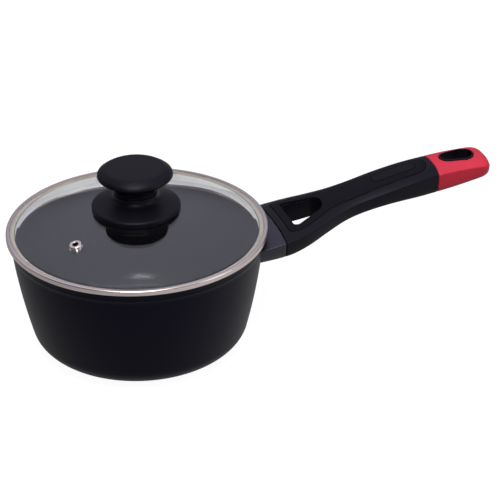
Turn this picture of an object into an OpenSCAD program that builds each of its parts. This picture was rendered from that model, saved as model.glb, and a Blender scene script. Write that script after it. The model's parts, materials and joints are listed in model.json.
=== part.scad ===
// Saucepan with a glass lid and a fork-shaped handle.
// Frame: origin at the centre of the pan's base, +Z up, handle along +X. Millimetres.

/* [Pan] */
// Height of the pan's rim above the table
pan_h = 78.2; // [77:0.1:78.2]
// Diameter of the flat base
base_d = 100; // [99:1:104]
// Outer radius of the wall just under the rim
rim_r = 82.2; // [82:0.1:82.4]
// Outer radius of the wall where it meets the base curve
heel_r = 70.6; // [70:0.1:71]
// Thickness of the pressed wall
wall_t = 2; // [1.8:0.1:2.2]
// Thickness of the floor
floor_t = 4; // [3.5:0.1:5]
// Thickness of the non-stick lining
lining_t = 0.35; // [0.3:0.05:0.4]
// Diameter of the steel disc set in the underside
disc_d = 92; // [84:1:93]

/* [Lid] */
// Outer radius of the steel band
band_r = 84.8; // [84:0.1:86]
// Height of the band's outer face
band_h = 3.5; // [3.3:0.1:4]
// Height of the glass dome above the band's lower edge
dome_rise = 19.1; // [18.5:0.1:19.5]
// Thickness of the glass
glass_t = 3.2; // [3:0.1:3.6]
// Lowest point of the band's skirt inside the pan
skirt_low = 71.4; // [70.5:0.1:73]

/* [Knob] */
// Radius of the knob's grip
cap_r = 24.5; // [22:0.5:26]
// Radius of the knob's base
flange_r = 28.8; // [26:0.2:30]
// Radius of the neck between them
neck_r = 13.2; // [12:0.2:13.4]
// Height of the knob's top above the table
knob_top = 125.3; // [125:0.1:126]

/* [Handle] */
// Distance from the pan's axis to the handle's tip
tip_x = 245.4; // [244:0.2:248]
// Place of the joint between guard and grip
root_x = 93; // [92:0.5:94]
// Place of the joint between grip and coloured end
end_x = 206; // [204:0.5:208]
// How far the top face stands above its side creases
crown = 4.4; // [3.5:0.1:5]
// Height of the fixing screw's axis
screw_z = 61; // [60:0.1:62]

/* [Hidden] */
$fn = 96;
eps = 0.01;
// Gap between pieces that are pressed or glued together
fit = 0.02;

// Smallest gap between the lid and the pan
seat_gap = 0.3;
lid_z = pan_h + seat_gap;
band_top = lid_z + band_h;
dome_top = lid_z + dome_rise;
// The dome meets the flat glass edge at this radius
dome_edge_r = 80;
glass_edge_z = band_top - 0.6;
dome_h = dome_top - glass_edge_z;
dome_sphere_r = (dome_edge_r * dome_edge_r + dome_h * dome_h) / (2 * dome_h);
sheet_t = 0.5;
skirt_r = 78.6;
heel_z = 13;
bead_z = pan_h - 6.2;
bead_out = 0.6;
disc_recess = 1.2;

// Points of an arc round [cx, cy], from angle a to angle b
function arc(cx, cy, r, a, b, n = 8) =
    [for (i = [0:n]) [cx + r * cos(a + (b - a) * i / n), cy + r * sin(a + (b - a) * i / n)]];

// Outer radius of the pan's wall at height z: steep at the heel, straighter at the rim
function wall_r(z) = let (t = (z - heel_z) / (pan_h - heel_z))
    heel_r + (rim_r - heel_r) * (1.48 * t - 0.48 * t * t);
wall_steps = 14;
wall_zs = [for (i = [0:wall_steps]) heel_z + (bead_z - heel_z) * i / wall_steps];
// The base curve is a quarter of an ellipse, cut short where it meets the wall's slope
heel_a = 14;
heel_up = heel_z / (1 - sin(heel_a));
heel_out = (heel_r - base_d / 2) / cos(heel_a);
heel_curve = [for (i = [0:10]) let (a = -90 + (90 - heel_a) * i / 10)
    [base_d / 2 + heel_out * cos(a), heel_up * (1 + sin(a))]];

module pan_body() {
    inner_top = wall_r(bead_z) - wall_t;
    color([0.08, 0.075, 0.11])
    difference() {
        rotate_extrude()
            polygon(concat(
                [[0, 0]], heel_curve,
                [for (z = wall_zs) if (z > heel_z) [wall_r(z), z]],
                [[wall_r(bead_z) + bead_out, bead_z + 0.6], [rim_r + bead_out, pan_h - 1]],
                arc(rim_r + bead_out - 0.9, pan_h - 0.9, 0.9, 0, 90, 4),
                arc(inner_top + 0.7, pan_h - 0.7, 0.7, 90, 180, 4),
                [for (i = [wall_steps:-1:1]) [wall_r(wall_zs[i]) - wall_t, wall_zs[i]]],
                floor_corner(wall_t), [[0, floor_t]]));
        // recess for the steel disc
        translate([0, 0, -eps]) cylinder(d = disc_d, h = disc_recess + eps);
        // lathe-turned rings round the disc
        for (part = [0.3, 0.7])
            translate([0, 0, -eps]) rotate_extrude()
                translate([(disc_d + part * (base_d - disc_d)) / 2, 0]) square([0.5, 0.25 + eps]);
    }
}
// Rounded corner between wall and floor, at depth t inside the outer wall
corner_r = 9;
function floor_corner(t, up = 0) = let (x = wall_r(heel_z) - t + 0.6)
    arc(x - corner_r, floor_t + up + corner_r, corner_r, 0, -90, 8);

module nonstick_lining() {
    color([0.25, 0.25, 0.27])
    rotate_extrude()
        polygon(concat(
            [[0, floor_t]],
            [for (i = [8:-1:0]) floor_corner(wall_t)[i]],
            [for (i = [1:wall_steps]) [wall_r(wall_zs[i]) - wall_t, wall_zs[i]]],
            [for (i = [wall_steps:-1:1]) [wall_r(wall_zs[i]) - wall_t - lining_t, wall_zs[i]]],
            floor_corner(wall_t + lining_t, lining_t), [[0, floor_t + lining_t]]));
}

module induction_disc() {
    color([0.72, 0.72, 0.74])
    difference() {
        cylinder(d = disc_d - 2 * fit, h = disc_recess - fit);
        // rings of dimples pressed into the disc
        for (ring = [1:4], i = [0:ring * 6 - 1])
            rotate([0, 0, i * 60 / ring]) translate([ring * 10, 0, -eps])
                cylinder(d = 3.4, h = 0.5, $fn = 24);
    }
}

// ---- handle form -------------------------------------------------------------------------
// Each path lists [x, value]; a smooth curve runs through its points.
half_width_path = [[70, 29], [96, 28.7], [110, 26.4], [124, 22.2], [138, 17.9], [150, 16.4],
    [172, 16.6], [190, 16], [206, 15], [250, 15]];
crease_path = [[70, 62.2], [96, 65.8], [120, 70.7], [145, 77], [170, 82.3], [195, 86.4], [220, 88.4],
    [250, 88]];
underside_path = [[70, 51.4], [96, 52.9], [110, 56.2], [125, 61.5], [145, 67.3], [170, 71.5], [200, 73.1],
    [222, 75.7], [250, 81]];

function slope(p, i) = i == 0 ? (p[1][1] - p[0][1]) / (p[1][0] - p[0][0])
    : i == len(p) - 1 ? (p[i][1] - p[i - 1][1]) / (p[i][0] - p[i - 1][0])
    : (p[i + 1][1] - p[i - 1][1]) / (p[i + 1][0] - p[i - 1][0]);
function span(p, x, i = 0) = (i >= len(p) - 2 || x < p[i + 1][0]) ? i : span(p, x, i + 1);
function along(p, x) = let (i = span(p, x), d = p[i + 1][0] - p[i][0], t = (x - p[i][0]) / d)
    p[i][1] * (1 - 3 * t * t + 2 * t * t * t) + p[i + 1][1] * (3 * t * t - 2 * t * t * t)
    + d * (slope(p, i) * (t - 2 * t * t + t * t * t) + slope(p, i + 1) * (t * t * t - t * t));

// The tip is rounded in plan and in thickness over its last stretch
tip_len = 9;
// Share of the full width that is left at the very tip
tip_share = 0.55;
function tip_u(x) = max(0, (x - tip_x + tip_len) / tip_len);
function tip_w(x) = pow(max(0, 1 - pow(tip_u(x), 2.6)), 0.5);
function tip_t(x) = pow(max(0, 1 - pow(tip_u(x), 3)), 0.5);

// Cross-section of the handle at x: crowned top, side creases, rounded underside
top_steps = [1, 0.92, 0.8, 0.62, 0.35, 0, -0.35, -0.62, -0.8, -0.92, -1];
under_steps = [[-0.97, 0.4], [-0.93, 0.72], [-0.85, 0.92], [-0.7, 1], [0.7, 1], [0.85, 0.92],
    [0.93, 0.72], [0.97, 0.4]];
function section(x) =
    let (w = along(half_width_path, x) * (tip_share + (1 - tip_share) * tip_w(x)),
        zt = along(crease_path, x), zb = along(underside_path, x), zm = (zt + zb) / 2,
        k = 0.45 + 0.55 * tip_t(x), a = zm + (zt - zm) * k, b = zm + (zb - zm) * k, c = crown * k)
    concat(
        [for (t = top_steps) [x, w * t, a + c * (1 - pow(abs(t), 3))]],
        [for (s = under_steps) [x, w * s[0], a + (b - a) * s[1]]]);
form_x = concat([for (x = [70:6:tip_x - tip_len - 3]) x],
    [for (i = [0:7]) tip_x - tip_len * (1 - sin(i * 90 / 7))]);
module handle_form() {
    rings = [for (x = form_x) section(x)];
    n = len(rings[0]);
    m = len(rings);
    polyhedron(
        points = [for (r = rings) each r],
        faces = concat(
            [[for (j = [0:n - 1]) j]],
            [[for (j = [n - 1:-1:0]) (m - 1) * n + j]],
            [for (i = [0:m - 2], j = [0:n - 1])
                let (a = i * n + j, b = i * n + (j + 1) % n) each [[a, b + n, b], [a, a + n, b + n]]]));
}
// A space that holds the whole handle, with room to spare
cut_half = 40;
cut_low = 40;
cut_h = 70;
// The part of that space between two distances from the pan's axis
module between(x0, x1) {
    translate([x0, -cut_half, cut_low]) cube([x1 - x0, 2 * cut_half, cut_h]);
}
// The part of that space inside an outline seen from above
module tall() {
    translate([0, 0, cut_low]) linear_extrude(cut_h) children();
}

// Window in the fork: flat towards the pan, round towards the grip
window_x = 103;
window_nose_x = 127.4;
window_nose_r = 11;
window_half = 15.2;
window_corner_r = 3;
module window_outline() {
    corner_x = window_x + window_corner_r;
    corner_y = window_half - window_corner_r;
    polygon(concat(
        arc(corner_x, corner_y, window_corner_r, 180, 75, 6),
        arc(window_nose_x - window_nose_r, 0, window_nose_r, 55, -55, 14),
        arc(corner_x, -corner_y, window_corner_r, 285, 180, 6)));
}
// Outline of the inlay: wide round the window, narrow along the grip
panel_x0 = 98.2;
panel_x1 = 201.8;
panel_end_r = 9.6;
panel_half_path = [[98, 21.5], [106, 20.6], [114, 18.4], [124, 14.4], [133, 11.6], [146, 11], [165, 10.3],
    [192, 9.6]];
module panel_outline(grow = 0) {
    side = [for (x = [106:4:panel_x1 - panel_end_r - 1]) [x, along(panel_half_path, x) + grow]];
    polygon(concat(
        arc(panel_x0 + 4, 16.8, 4 + grow, 180, 100, 5), side,
        arc(panel_x1 - panel_end_r, 0, panel_end_r + grow, 90, -90, 14),
        [for (i = [len(side) - 1:-1:0]) [side[i][0], -side[i][1]]],
        arc(panel_x0 + 4, -16.8, 4 + grow, 260, 180, 5)));
}
// Everything above the pocket's floor, which follows the top face at a constant depth
panel_depth = 2.4;
groove_w = 0.25;
module above_pocket(depth) {
    xs = [for (x = [90:8:210]) x];
    translate([0, cut_half, 0]) rotate([90, 0, 0]) linear_extrude(2 * cut_half)
        polygon(concat([for (x = xs) [x, along(crease_path, x) + crown - depth]],
            [[xs[len(xs) - 1], cut_low + cut_h], [xs[0], cut_low + cut_h]]));
}
// Blank oval of the badge, between the inlay's two grooves
badge_x0 = 163.5;
badge_x1 = 194.5;
badge_half = 4.2;
badge_depth = 0.9;
module badge_outline(grow = 0) {
    polygon(concat(
        arc(badge_x0 + badge_half, 0, badge_half + grow, 90, 270, 10),
        arc(badge_x1 - badge_half, 0, badge_half + grow, -90, 90, 10)));
}
// Hanging slot: narrow towards the pan, wide towards the tip
slot_x0 = 213.7;
slot_x1 = 235.8;
slot_r0 = 5;
slot_r1 = 7;
// Angle at which the slot's straight sides touch its two round ends
slot_a = 90 + asin((slot_r1 - slot_r0) / (slot_x1 - slot_r1 - slot_x0 - slot_r0));
module slot_outline(grow = 0) {
    polygon(concat(
        arc(slot_x0 + slot_r0, 0, slot_r0 + grow, slot_a, 360 - slot_a, 10),
        arc(slot_x1 - slot_r1, 0, slot_r1 + grow, -slot_a, slot_a, 12)));
}
// Tang of the grip's core, inside the coloured end
tang_x = 238.5;
tang_half = 9.4;
tang_low = 77.6;
tang_t = 7;
tang_lap = 1;
module tang(grow = 0) {
    translate([end_x - tang_lap, -tang_half - grow, tang_low - grow])
        cube([tang_x - end_x + tang_lap + grow, 2 * (tang_half + grow), tang_t + 2 * grow]);
}

// Stud welded to the wall; the part inside the wall is cut off
stud_x0 = 74;
stud_x1 = 89.5;
stud_w = 16;
stud_h = 8.4;
module stud_block(grow = 0) {
    translate([stud_x0, -stud_w / 2 - grow, screw_z - stud_h / 2 - grow])
        cube([stud_x1 - stud_x0 + grow, stud_w + 2 * grow, stud_h + 2 * grow]);
}
module pan_envelope(grow = 0) {
    rotate_extrude()
        polygon(concat([[0, 0]], [for (p = heel_curve) [p[0] + grow, p[1]]],
            [for (z = wall_zs) if (z > heel_z) [wall_r(z) + grow, z]], [[0, bead_z]]));
}
module screw_bore(d, x0, x1) {
    translate([x0, 0, screw_z]) rotate([0, 90, 0]) cylinder(d = d, h = x1 - x0);
}

// Fixing screw: shank, head, and the washer between head and grip
shank_d = 4.1;
head_d = 9;
head_t = 2.9;
washer_d = 8.4;
washer_t = 1.28;
head_floor_x = 97;
play = 0.2;
module handle_stud() {
    color([0.6, 0.6, 0.62])
    difference() {
        stud_block();
        pan_envelope();
        screw_bore(shank_d + play, stud_x0, stud_x1 + 1);
    }
}
module flame_guard() {
    color([0.1, 0.1, 0.12])
    difference() {
        intersection() {
            handle_form();
            between(heel_r, root_x - joint_gap);
        }
        pan_envelope(fit);
        stud_block(play);
        spigot(play);
        screw_bore(shank_d + 0.9, stud_x0, root_x);
    }
}
// Spigot on the grip that centres it in the guard
joint_gap = 0.4;
spigot_len = 3;
spigot_half = 20;
spigot_h = 7.2;
module spigot(grow = 0) {
    translate([root_x - spigot_len - grow, -spigot_half - grow, screw_z - spigot_h / 2 - grow])
        cube([spigot_len + 1 + grow, 2 * (spigot_half + grow), spigot_h + 2 * grow]);
}
// Raised rim round the hanging slot
collar_w = 1.2;
collar_low = 77.5;
collar_h = 15;
module slot_collar() {
    translate([0, 0, collar_low]) linear_extrude(collar_h) slot_outline(collar_w);
}
module handle_core() {
    color([0.09, 0.09, 0.1])
    difference() {
        union() {
            intersection() {
                handle_form();
                between(root_x, end_x);
            }
            spigot();
            tang();
            slot_collar();
        }
        tall() window_outline();
        intersection() {
            tall() panel_outline(groove_w);
            above_pocket(panel_depth);
        }
        tall() slot_outline();
        screw_bore(shank_d + 0.9, root_x - spigot_len - 1, head_floor_x + 1);
        screw_bore(head_d + 1.2, head_floor_x, window_x + 4);
    }
}
module grip_panel() {
    color([0.2, 0.2, 0.22])
    difference() {
        intersection() {
            handle_form();
            tall() panel_outline();
            above_pocket(panel_depth);
        }
        tall() window_outline();
        intersection() {
            tall() badge_outline(0.15);
            above_pocket(badge_depth);
        }
    }
}
module badge_plate() {
    color([0.24, 0.24, 0.26])
    intersection() {
        handle_form();
        tall() badge_outline();
        above_pocket(badge_depth);
    }
}
module end_cap() {
    color([0.82, 0.13, 0.22])
    difference() {
        intersection() {
            handle_form();
            between(end_x + 0.3, tip_x + 5);
        }
        tang(fit);
        tall() slot_outline(collar_w + 0.05);
    }
}
under_head_x = head_floor_x + washer_t + fit;
module handle_screw() {
    color([0.75, 0.75, 0.76])
    difference() {
        union() {
            screw_bore(shank_d, 84, under_head_x + 0.1);
            screw_bore(head_d, under_head_x, under_head_x + head_t);
        }
        // cross recess
        for (a = [0, 90])
            translate([under_head_x + head_t - 1.6, 0, screw_z]) rotate([a, 0, 0])
                translate([0, -0.6, -2.4]) cube([3, 1.2, 4.8]);
    }
}
module spring_washer() {
    color([0.6, 0.6, 0.62])
    difference() {
        screw_bore(washer_d, head_floor_x + fit, head_floor_x + washer_t);
        screw_bore(shank_d + 0.4, head_floor_x - 1, head_floor_x + 3);
        // the split
        translate([head_floor_x - 1, 0, screw_z + 1]) rotate([0, 0, 20])
            translate([0, -0.3, 0]) cube([4, 0.6, washer_d]);
    }
}

// ---- lid ---------------------------------------------------------------------------------
// Height of the dome's outer face at radius r
function dome_z(r) = dome_top - dome_sphere_r + sqrt(dome_sphere_r * dome_sphere_r - r * r);
dome_rs = [for (i = [0:16]) dome_edge_r * i / 16];
glass_edge_r = band_r - 1.2;
edge_t = 2.2;
// Radius of the hole for the knob's screw
hole_r = 4;
vent_r = 53.6;
vent_a = 207;
vent_tilt = asin(vent_r / dome_sphere_r);
vent_hole_d = 6.4;
tube_r = vent_hole_d / 2 - 0.1;
brim_r = 4.3;
// Distance along the eyelet's axis from the dome's outer face to the ring under the glass
vent_grip = glass_t + 0.45;
// Places a piece on the dome at the steam vent, with its axis square to the glass
module at_vent() {
    rotate([0, 0, vent_a]) translate([vent_r, 0, dome_z(vent_r)]) rotate([0, vent_tilt, 0]) children();
}
module lid_glass() {
    color([0.75, 0.8, 0.82, 0.45])
    difference() {
        rotate_extrude()
            polygon(concat(
                [for (r = dome_rs) [r, dome_z(r)]],
                [[glass_edge_r - 0.5, glass_edge_z], [glass_edge_r, glass_edge_z - 0.5],
                    [glass_edge_r, glass_edge_z - edge_t + 0.5], [glass_edge_r - 0.5, glass_edge_z - edge_t]],
                [for (i = [16:-1:0]) [dome_rs[i] * 0.975, dome_z(dome_rs[i]) - glass_t
                    + (glass_t - edge_t) * pow(i / 16, 6)]]));
        translate([0, 0, dome_top]) cylinder(r = hole_r, h = 4 * glass_t, center = true);
        at_vent() cylinder(d = vent_hole_d, h = 4 * glass_t, center = true);
    }
}
// Steel strip rolled round the glass, with a skirt that hangs inside the pan's mouth
module lid_rim() {
    lip_r = band_r - 2.6;
    color([0.82, 0.81, 0.8])
    rotate_extrude()
        polygon(concat(
            [[lip_r, band_top - sheet_t], [lip_r, band_top]],
            arc(band_r - 0.8, band_top - 0.8, 0.8, 90, 0, 4),
            arc(band_r - 0.6, lid_z + 0.6, 0.6, 0, -90, 4),
            [[skirt_r, lid_z], [skirt_r, skirt_low + 0.4], [skirt_r - 0.3, skirt_low],
                [skirt_r - 0.7, skirt_low], [skirt_r - 1, skirt_low + 0.4],
                [skirt_r - 1, skirt_low + 1.2], [skirt_r - sheet_t, skirt_low + 1.6],
                [skirt_r - sheet_t, lid_z + sheet_t], [band_r - sheet_t, lid_z + sheet_t],
                [band_r - sheet_t, band_top - sheet_t]]));
}
module rim_seal() {
    low = lid_z + sheet_t + fit;
    high = band_top - sheet_t - fit;
    under_glass = glass_edge_z - edge_t - fit;
    color([0.5, 0.36, 0.28])
    rotate_extrude()
        polygon([[skirt_r + 0.4, low], [glass_edge_r + 0.5, low], [glass_edge_r + 0.5, high],
            [glass_edge_r + fit, high], [glass_edge_r + fit, under_glass], [skirt_r + 0.4, under_glass]]);
}
module vent_eyelet() {
    bore_r = 1.9;
    low = -vent_grip - 0.9;
    color([0.8, 0.8, 0.8])
    at_vent()
    rotate_extrude()
        polygon([[bore_r, low], [bore_r, 0.35], [bore_r + 0.6, 0.95], [3.1, 1.05], [brim_r - 0.4, 0.7],
            [brim_r, 0.12], [brim_r, 0.03], [tube_r, 0.03], [tube_r, low]]);
}
module vent_ring() {
    high = -vent_grip;
    low = high - 0.8;
    color([0.7, 0.7, 0.7])
    at_vent()
    rotate_extrude()
        polygon([[tube_r + fit, high], [brim_r, high], [brim_r, high - 0.35], [brim_r - 0.6, low],
            [tube_r + fit, low]]);
}
// Knob: a base that spreads over the glass, a neck and a wide cap, on one screw
flange_low = dome_top - 1.6;
flange_h = 11.7;
insert_d = 7.2;
insert_len = 17;
module knob_cap() {
    z = knob_top;
    low = flange_low + flange_h + fit;
    color([0.1, 0.1, 0.11])
    difference() {
        rotate_extrude()
            polygon(concat(
                [[0, z], [12, z - 0.2], [19.2, z - 0.6], [20.6, z - 1.3], [cap_r - 0.9, z - 3.4]],
                arc(cap_r - 1.4, z - 4.8, 1.4, 30, -70, 6),
                [[17.5, z - 8.8], [neck_r + 2, z - 11.3], [neck_r + 0.4, z - 13.8], [neck_r, z - 16],
                    [neck_r, low], [0, low]]));
        translate([0, 0, flange_low]) cylinder(d = insert_d, h = insert_low + insert_len + 0.2);
    }
}
insert_low = 3.5;
module knob_base() {
    f = flange_low;
    color([0.1, 0.1, 0.11])
    difference() {
        rotate_extrude()
            polygon([[0, f + flange_h], [neck_r + 0.6, f + flange_h], [neck_r + 1.1, f + flange_h - 0.5],
                [neck_r + 1.1, f + flange_h - 1.5], [neck_r + 1.6, f + 8.9], [neck_r + 4.4, f + 7.2],
                [flange_r - 1.4, f + 3.6], [flange_r - 0.4, f + 3], [flange_r, f + 2.4],
                [flange_r, f + 0.3], [flange_r - 0.3, f], [flange_r - 2, f], [flange_r - 3.4, f + 1.6],
                [11, f + 3.2], [11, f + 2.4], [0, f + 2.4]]);
        translate([0, 0, f - 1]) cylinder(d = insert_d, h = flange_h + 2);
    }
}
module knob_insert() {
    color([0.75, 0.6, 0.3])
    difference() {
        translate([0, 0, flange_low + insert_low]) cylinder(d = insert_d, h = insert_len);
        translate([0, 0, flange_low + insert_low - 1]) cylinder(d = knob_screw_d + 0.1, h = insert_len - 1);
    }
}
glass_low = dome_top - glass_t;
glass_gasket_t = 1;
backing_t = 1.2;
knob_screw_d = 4;
knob_head_d = 8;
knob_head_t = 2.4;
module base_gasket() {
    color([0.3, 0.3, 0.3])
    difference() {
        translate([0, 0, dome_top + fit]) cylinder(r = 10, h = 0.76);
        translate([0, 0, dome_top - 1]) cylinder(r = hole_r, h = 4);
    }
}
module glass_gasket() {
    color([0.3, 0.3, 0.3])
    difference() {
        translate([0, 0, glass_low - glass_gasket_t - 0.3]) cylinder(r = 9.5, h = glass_gasket_t);
        translate([0, 0, glass_low - 3]) cylinder(r = hole_r, h = 4);
    }
}
module backing_washer() {
    color([0.8, 0.8, 0.8])
    difference() {
        translate([0, 0, glass_low - glass_gasket_t - 0.3 - backing_t]) cylinder(r = 9, h = backing_t - fit);
        translate([0, 0, glass_low - 4]) cylinder(r = 2.3, h = 4);
    }
}
module knob_screw() {
    low = glass_low - glass_gasket_t - 0.3 - backing_t - fit;
    color([0.8, 0.8, 0.8])
    difference() {
        union() {
            translate([0, 0, low - knob_head_t]) cylinder(d = knob_head_d, h = knob_head_t);
            translate([0, 0, low - 0.1]) cylinder(d = knob_screw_d, h = 19);
        }
        // cross recess
        for (a = [0, 90])
            rotate([0, 0, a]) translate([-2.2, -0.5, low - knob_head_t - 0.1]) cube([4.4, 1, 1.7]);
    }
}

pan_body();
nonstick_lining();
induction_disc();
handle_stud();
flame_guard();
handle_core();
grip_panel();
badge_plate();
end_cap();
handle_screw();
spring_washer();
lid_glass();
lid_rim();
rim_seal();
vent_eyelet();
vent_ring();
knob_cap();
knob_base();
knob_insert();
knob_screw();
base_gasket();
glass_gasket();
backing_washer();
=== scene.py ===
"""Saucepan with a glass lid: pieces, finishes and studio, laid out as an add-on and run as a script."""

import json
import math

import bmesh
import bpy
from bpy.props import FloatProperty, FloatVectorProperty, IntProperty, PointerProperty
from mathutils import Matrix, Vector


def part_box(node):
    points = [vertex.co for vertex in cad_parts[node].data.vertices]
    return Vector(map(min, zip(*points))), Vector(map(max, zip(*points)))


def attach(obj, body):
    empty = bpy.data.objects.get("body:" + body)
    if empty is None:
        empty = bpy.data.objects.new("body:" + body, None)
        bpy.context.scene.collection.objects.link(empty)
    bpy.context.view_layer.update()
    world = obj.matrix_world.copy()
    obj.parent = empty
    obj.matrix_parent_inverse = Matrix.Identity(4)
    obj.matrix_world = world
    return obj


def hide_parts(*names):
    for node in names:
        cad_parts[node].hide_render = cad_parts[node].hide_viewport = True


bl_info = {
    "name": "Saucepan with Glass Lid",
    "version": (1, 0, 0),
    "blender": (4, 5, 0),
    "location": "3D View > Sidebar > Saucepan",
    "description": "Builds the pieces, finishes and studio of a saucepan round its packed frame",
    "category": "Object",
}

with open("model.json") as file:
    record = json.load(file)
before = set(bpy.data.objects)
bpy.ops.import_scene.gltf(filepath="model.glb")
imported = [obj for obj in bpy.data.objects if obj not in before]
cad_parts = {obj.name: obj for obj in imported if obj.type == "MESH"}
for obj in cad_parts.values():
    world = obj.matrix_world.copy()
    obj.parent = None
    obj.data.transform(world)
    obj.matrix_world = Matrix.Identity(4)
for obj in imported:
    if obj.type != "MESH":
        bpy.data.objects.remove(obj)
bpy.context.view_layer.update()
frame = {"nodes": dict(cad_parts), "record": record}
MM = 0.001
TURN = 2 * math.pi
BELOW, ABOVE = 30, 110  # heights between which every cutter for the handle reaches


def low(node):
    """Lowest corner of a frame node, in millimetres."""
    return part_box(node)[0] / MM


def high(node):
    """Highest corner of a frame node, in millimetres."""
    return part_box(node)[1] / MM


VENT = (low("vent_eyelet") + high("vent_eyelet")) / 2


# ---- sizes and colours ----
def length(name, description, default):
    """A size in millimetres, shown to the user as a length."""
    return FloatProperty(name=name, description=description, default=default * MM, min=0,
                         unit="LENGTH", precision=5)


def colour(name, description, default):
    """A surface colour, linear."""
    return FloatVectorProperty(name=name, description=description, default=default, size=3, min=0, max=1,
                               subtype="COLOR")


def number(name, description, default, **limits):
    """A plain setting of the studio."""
    return FloatProperty(name=name, description=description, default=default, **limits)


def angle_of(name, description, degrees):
    """An angle, given here in degrees."""
    return number(name, description, math.radians(degrees), subtype="ANGLE")


class SaucepanSizes(bpy.types.PropertyGroup):
    """Sizes of the pan, the lid and the handle."""

    rim_z: length("Rim Height", "Height of the pan's rim above the table", high("pan_body").z)
    bead_r: length("Bead Radius", "Outer radius of the bead under the rim", high("pan_body").y)
    bead_out: length("Bead Depth", "Step from the wall out to the bead", 0.6)
    bead_fall: length("Bead Height", "From the rim down to the bead's lower edge", 6.2)
    heel_r: length("Heel Radius", "Outer radius at the top of the base curve", 70.6)
    heel_z: length("Heel Height", "Height at which the base curve ends", 13)
    base_r: length("Base Radius", "Radius of the flat base", 50)
    wall: length("Wall Thickness", "Thickness of the pressed wall", 2)
    floor: length("Floor Thickness", "Thickness of the floor", 4)
    lining: length("Lining Thickness", "Thickness of the non-stick lining", 0.35)
    band_r: length("Band Radius", "Outer radius of the lid's steel band", high("lid_rim").y)
    band_z: length("Band Top", "Height of the band's top edge", high("lid_rim").z)
    band_h: length("Band Height", "Height of the band's outer face", 3.5)
    skirt_z: length("Skirt Bottom", "Lowest point of the skirt inside the pan", low("lid_rim").z)
    skirt_r: length("Skirt Radius", "Outer radius of the skirt", 78.6)
    sheet: length("Sheet", "Thickness of the band's steel sheet", 0.5)
    dome_z: length("Dome Top", "Height of the middle of the glass", high("lid_glass").z)
    glass: length("Glass Thickness", "Thickness of the glass", 3.2)
    knob_z: length("Knob Top", "Height of the knob's top", high("knob_cap").z)
    knob_r: length("Knob Radius", "Radius of the knob's grip", high("knob_cap").y)
    flange_z: length("Knob Base Bottom", "Lower edge of the knob's base", low("knob_base").z)
    flange_r: length("Knob Base Radius", "Radius of the knob's base", high("knob_base").y)
    neck_r: length("Neck Radius", "Radius of the knob's neck", 13.2)
    tip_x: length("Handle Tip", "From the pan's axis to the handle's tip", high("end_cap").x)
    end_x: length("End Joint", "From the pan's axis to the coloured end", low("end_cap").x)
    root_x: length("Guard Joint", "From the pan's axis to the guard's outer end", high("flame_guard").x)
    crown: length("Crown", "Rise of the handle's top above its creases", 4.4)
    groove: length("Groove Depth", "Depth of the inlay's grooves", 0.55)
    steps: IntProperty(name="Lathe Steps", description="Facets round a turned piece", default=160,
                       min=48, max=256)


class SaucepanFinish(bpy.types.PropertyGroup):
    """Colours of the finishes."""

    coating: colour("Pan Coating", "Dark plum-black coating outside", (0.0015, 0.0012, 0.005))
    lining: colour("Lining", "Dark grey non-stick lining", (0.004, 0.004, 0.0055))
    guard: colour("Guard", "Coated metal guard", (0.0035, 0.003, 0.007))
    plastic: colour("Moulded Black", "Black grip and knob", (0.0028, 0.0026, 0.0044))
    inlay: colour("Inlay", "Soft inlay on the grip", (0.003, 0.0028, 0.0045))
    red: colour("Red", "Soft coloured end", (0.58, 0.017, 0.04))
    steel: colour("Lid Steel", "Polished steel of the lid's band", (0.7, 0.615, 0.58))
    raw_steel: colour("Plain Steel", "Brushed steel of disc and fixings", (0.55, 0.55, 0.56))
    seal: colour("Seal", "Brown sealant between glass and band", (0.06, 0.04, 0.025))
    glass: colour("Glass", "Tint of the glass", (0.965, 0.985, 0.98))
    brass: colour("Brass", "Turned brass insert", (0.62, 0.43, 0.16))
    rubber: colour("Gasket", "Dark silicone of the gaskets", (0.02, 0.02, 0.021))


class SaucepanStage(bpy.types.PropertyGroup):
    """Camera, lights and floor."""

    lens: number("Lens", "Focal length on a 36 mm sensor", 180, min=20, max=400)
    elevation: angle_of("Elevation", "Height angle of the view", 28.91)
    azimuth: angle_of("Azimuth", "Angle of the view round the pan", 19.5)
    roll: angle_of("Roll", "Turn of the camera about its own axis", -0.83)
    distance: length("Distance", "From the camera to the point it is aimed by", 1619.4)
    across: length("Across", "From the view's middle left to the pan's axis", 72.97)
    above: length("Above", "From the view's middle up to that point", 9.153)
    aim_z: length("Aim Height", "Height of that point on the pan's axis", 75.14)
    back_light: number("Back Light", "Brightness of the sky behind the pan", 0.56)
    front_light: number("Front Light", "Brightness of the sky before it", 0.1)
    key_power: number("Key", "Power of the large lamp above, in watts", 15)
    side_power: number("Side", "Power of the lamp to the right, in watts", 4)
    fill_power: number("Fill", "Power of the lamp behind the camera, in watts", 9)
    floor_glow: number("Floor Glow", "Light that the floor adds to its own picture", 0.94)


# ---- modelling helpers ----
def only(piece):
    """Selects one piece and makes it the active one."""
    if bpy.context.object and bpy.context.object.mode != "OBJECT":
        bpy.ops.object.mode_set(mode="OBJECT")
    bpy.ops.object.select_all(action="DESELECT")
    piece.select_set(True)
    bpy.context.view_layer.objects.active = piece


def pick(piece, wanted):
    """In edit mode, selects just the corners for which wanted(place in mm) is true."""
    sheet = bmesh.from_edit_mesh(piece.data)
    for corner in sheet.verts:
        corner.select = wanted(corner.co / MM)
    sheet.select_flush_mode()
    sheet.select_flush(True)
    bmesh.update_edit_mesh(piece.data)


def modify(piece, kind, **settings):
    """Adds a modifier and applies it."""
    only(piece)
    modifier = piece.modifiers.new(kind.title(), kind)
    for key, value in settings.items():
        setattr(modifier, key, value)
    bpy.ops.object.modifier_apply(modifier=modifier.name)
    return piece


def carve(piece, tool, operation="DIFFERENCE", keep=False):
    """Cuts a piece with another closed shape, which is then removed."""
    modify(piece, "BOOLEAN", operation=operation, object=tool, solver="EXACT")
    if not keep:
        bpy.data.objects.remove(tool)
    return piece


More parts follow.
